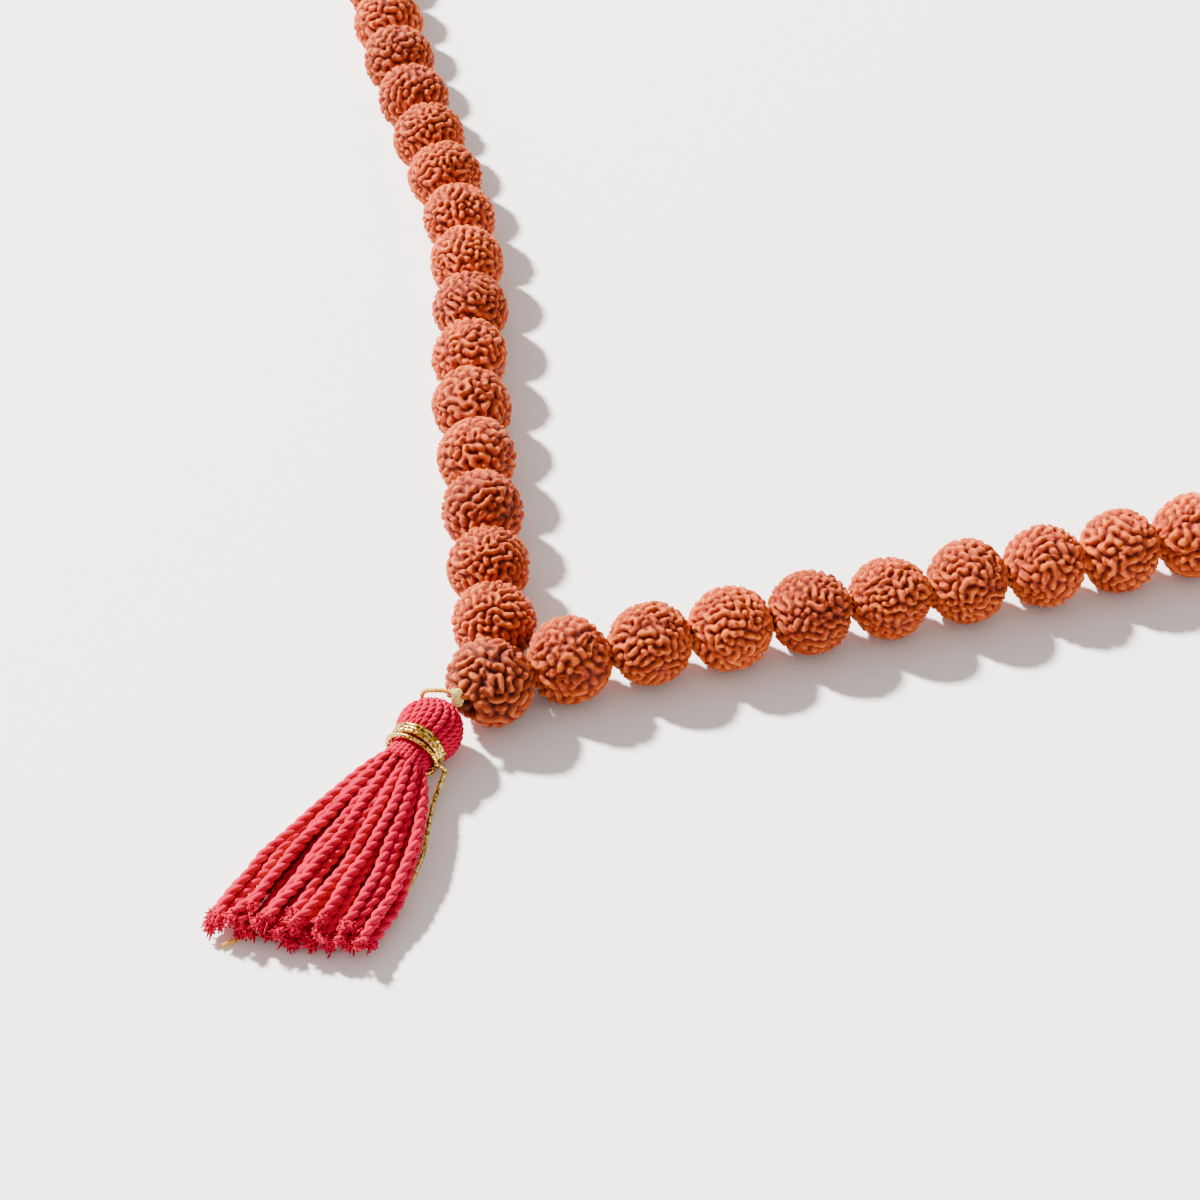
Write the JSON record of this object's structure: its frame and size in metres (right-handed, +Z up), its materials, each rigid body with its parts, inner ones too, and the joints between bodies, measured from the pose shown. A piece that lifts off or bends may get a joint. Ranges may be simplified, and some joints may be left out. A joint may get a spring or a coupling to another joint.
{
  "type": "mala prayer beads",
  "caption": "Loop of round drilled rudraksha seeds strung edge to edge, closed at a larger guru seed with a knot and a bound yarn tassel; worn on the neck or counted in the hand.",
  "frame": {"origin": "on the resting facet under the middle of the guru seed", "axes": "+Z up from the surface that the loop lies on; +Y from the tassel towards the loop; +X towards the right strand"},
  "size_m": [0.237, 0.3544, 0.0084],
  "materials": {
    "seed": "deeply wrinkled seed shell, dry satin",
    "guru_seed": "deeply wrinkled seed shell, darker, dry satin",
    "stringing_cord": "twisted cotton cord",
    "knot_thread": "pale twisted thread",
    "yarn": "two-ply mercerised cotton yarn",
    "gilt_thread": "metallised foil wound on a thread"
  },
  "bodies": {
    "guru": {"guru_bead": "guru_seed", "cord_guru": "stringing_cord", "guru_knot": "knot_thread"},
    "hanger": {"hanger_knot": "knot_thread"},
    "tassel": {"hanger_thread": "gilt_thread", "tassel_head": "yarn", "tassel_skirt": "yarn", "binding_band": "gilt_thread", "binding_lower_wrap": "gilt_thread", "gilt_tail": "gilt_thread"},
    "left_near": {"cord_left_near": "stringing_cord", "run_left_near_01": "seed", "run_left_near_02": "seed", "run_left_near_03": "seed"},
    "left_far": {"cord_left_far": "stringing_cord", "run_left_far_01": "seed", "run_left_far_02": "seed", "run_left_far_03": "seed", "run_left_far_04": "seed", "run_left_far_05": "seed", "run_left_far_06": "seed", "run_left_far_07": "seed"},
    "right_near": {"cord_right_near": "stringing_cord", "run_right_near_01": "seed", "run_right_near_02": "seed", "run_right_near_03": "seed", "run_right_near_04": "seed"},
    "right_far": {"cord_right_far": "stringing_cord", "run_right_far_01": "seed", "run_right_far_02": "seed", "run_right_far_03": "seed", "run_right_far_04": "seed", "run_right_far_05": "seed", "run_right_far_06": "seed", "run_right_far_07": "seed"},
    "seed_left_01": {"bead_left_01": "seed"},
    "seed_left_02": {"bead_left_02": "seed"},
    "seed_left_03": {"bead_left_03": "seed"},
    "seed_left_04": {"bead_left_04": "seed"},
    "seed_left_05": {"bead_left_05": "seed"},
    "seed_left_06": {"bead_left_06": "seed"},
    "seed_left_07": {"bead_left_07": "seed"},
    "seed_left_08": {"bead_left_08": "seed"},
    "seed_left_09": {"bead_left_09": "seed"},
    "seed_left_10": {"bead_left_10": "seed"},
    "seed_left_11": {"bead_left_11": "seed"},
    "seed_left_12": {"bead_left_12": "seed"},
    "seed_left_13": {"bead_left_13": "seed"},
    "seed_left_14": {"bead_left_14": "seed"},
    "seed_left_15": {"bead_left_15": "seed"},
    "seed_right_01": {"bead_right_01": "seed"},
    "seed_right_02": {"bead_right_02": "seed"},
    "seed_right_03": {"bead_right_03": "seed"},
    "seed_right_04": {"bead_right_04": "seed"},
    "seed_right_05": {"bead_right_05": "seed"},
    "seed_right_06": {"bead_right_06": "seed"},
    "seed_right_07": {"bead_right_07": "seed"},
    "seed_right_08": {"bead_right_08": "seed"},
    "seed_right_09": {"bead_right_09": "seed"}
  },
  "joints": [
    {"name": "strand_open", "type": "hinge", "parent": "guru", "child": "left_near", "pos_m": [0, 0, 0.004], "axis": [0, 0, 1], "range_deg": [0, 15]},
    {"name": "right_open", "type": "hinge", "parent": "guru", "child": "right_near", "pos_m": [0, 0, 0.004], "axis": [0, 0, 1], "range_deg": [-15, 0]},
    {"name": "left_fold", "type": "hinge", "parent": "left_near", "child": "left_far", "pos_m": [0.00487, 0.21255, 0.004], "axis": [0, 0, 1], "range_deg": [-30, 0]},
    {"name": "right_fold", "type": "hinge", "parent": "right_near", "child": "right_far", "pos_m": [0.17622, 0.10189, 0.004], "axis": [0, 0, 1], "range_deg": [0, 30]},
    {"name": "tassel_swing", "type": "hinge", "parent": "guru", "child": "hanger", "pos_m": [-0.003, -0.0032, 0.00605], "axis": [0, 0, 1], "range_deg": [-20, 40]},
    {"name": "tassel_lift", "type": "hinge", "parent": "hanger", "child": "tassel", "pos_m": [-0.003, -0.0032, 0.00605], "axis": [-0.891, 0.454, 0], "range_deg": [0, 110]},
    {"name": "turn_left_01", "type": "hinge", "parent": "left_near", "child": "seed_left_01", "pos_m": [0.00013, 0.00804, 0.004], "axis": [-0.0561, 0.9984, 0], "continuous": true},
    {"name": "turn_left_02", "type": "hinge", "parent": "left_near", "child": "seed_left_02", "pos_m": [-0.00056, 0.01603, 0.004], "axis": [-0.1016, 0.9948, 0], "continuous": true},
    {"name": "turn_left_03", "type": "hinge", "parent": "left_near", "child": "seed_left_03", "pos_m": [-0.0014, 0.024, 0.004], "axis": [-0.107, 0.9943, 0], "continuous": true},
    {"name": "turn_left_04", "type": "hinge", "parent": "left_near", "child": "seed_left_04", "pos_m": [-0.00224, 0.03197, 0.004], "axis": [-0.1014, 0.9948, 0], "continuous": true},
    {"name": "turn_left_05", "type": "hinge", "parent": "left_near", "child": "seed_left_05", "pos_m": [-0.003, 0.03996, 0.004], "axis": [-0.0832, 0.9965, 0], "continuous": true},
    {"name": "turn_left_06", "type": "hinge", "parent": "left_near", "child": "seed_left_06", "pos_m": [-0.0034, 0.04796, 0.004], "axis": [-0.0272, 0.9996, 0], "continuous": true},
    {"name": "turn_left_07", "type": "hinge", "parent": "left_near", "child": "seed_left_07", "pos_m": [-0.00362, 0.05598, 0.004], "axis": [-0.0382, 0.9993, 0], "continuous": true},
    {"name": "turn_left_08", "type": "hinge", "parent": "left_near", "child": "seed_left_08", "pos_m": [-0.00417, 0.06397, 0.004], "axis": [-0.1051, 0.9945, 0], "continuous": true},
    {"name": "turn_left_09", "type": "hinge", "parent": "left_near", "child": "seed_left_09", "pos_m": [-0.00535, 0.0719, 0.004], "axis": [-0.1925, 0.9813, 0], "continuous": true},
    {"name": "turn_left_10", "type": "hinge", "parent": "left_near", "child": "seed_left_10", "pos_m": [-0.00716, 0.07971, 0.004], "axis": [-0.2506, 0.9681, 0], "continuous": true},
    {"name": "turn_left_11", "type": "hinge", "parent": "left_near", "child": "seed_left_11", "pos_m": [-0.00927, 0.08744, 0.004], "axis": [-0.2704, 0.9627, 0], "continuous": true},
    {"name": "turn_left_12", "type": "hinge", "parent": "left_near", "child": "seed_left_12", "pos_m": [-0.01143, 0.09516, 0.004], "axis": [-0.2652, 0.9642, 0], "continuous": true},
    {"name": "turn_left_13", "type": "hinge", "parent": "left_near", "child": "seed_left_13", "pos_m": [-0.01346, 0.10292, 0.004], "axis": [-0.2363, 0.9717, 0], "continuous": true},
    {"name": "turn_left_14", "type": "hinge", "parent": "left_near", "child": "seed_left_14", "pos_m": [-0.01514, 0.11076, 0.004], "axis": [-0.1864, 0.9825, 0], "continuous": true},
    {"name": "turn_left_15", "type": "hinge", "parent": "left_near", "child": "seed_left_15", "pos_m": [-0.01668, 0.11863, 0.004], "axis": [-0.1933, 0.9811, 0], "continuous": true},
    {"name": "turn_right_01", "type": "hinge", "parent": "right_near", "child": "seed_right_01", "pos_m": [0.00737, 0.00318, 0.004], "axis": [0.9513, 0.3083, 0], "continuous": true},
    {"name": "turn_right_02", "type": "hinge", "parent": "right_near", "child": "seed_right_02", "pos_m": [0.01507, 0.00544, 0.004], "axis": [0.9645, 0.264, 0], "continuous": true},
    {"name": "turn_right_03", "type": "hinge", "parent": "right_near", "child": "seed_right_03", "pos_m": [0.02281, 0.00751, 0.004], "axis": [0.9668, 0.2555, 0], "continuous": true},
    {"name": "turn_right_04", "type": "hinge", "parent": "right_near", "child": "seed_right_04", "pos_m": [0.03056, 0.00956, 0.004], "axis": [0.9663, 0.2574, 0], "continuous": true},
    {"name": "turn_right_05", "type": "hinge", "parent": "right_near", "child": "seed_right_05", "pos_m": [0.0383, 0.01165, 0.004], "axis": [0.9642, 0.2651, 0], "continuous": true},
    {"name": "turn_right_06", "type": "hinge", "parent": "right_near", "child": "seed_right_06", "pos_m": [0.04602, 0.01383, 0.004], "axis": [0.9606, 0.2781, 0], "continuous": true},
    {"name": "turn_right_07", "type": "hinge", "parent": "right_near", "child": "seed_right_07", "pos_m": [0.05371, 0.0161, 0.004], "axis": [0.9593, 0.2824, 0], "continuous": true},
    {"name": "turn_right_08", "type": "hinge", "parent": "right_near", "child": "seed_right_08", "pos_m": [0.0614, 0.01835, 0.004], "axis": [0.9601, 0.2796, 0], "continuous": true},
    {"name": "turn_right_09", "type": "hinge", "parent": "right_near", "child": "seed_right_09", "pos_m": [0.0691, 0.0206, 0.004], "axis": [0.9588, 0.284, 0], "continuous": true}
  ],
  "couplings": [
    {"joint": "right_open", "follows": "strand_open", "ratio": -1},
    {"joint": "left_fold", "follows": "strand_open", "ratio": -2},
    {"joint": "right_fold", "follows": "strand_open", "ratio": 2}
  ]
}
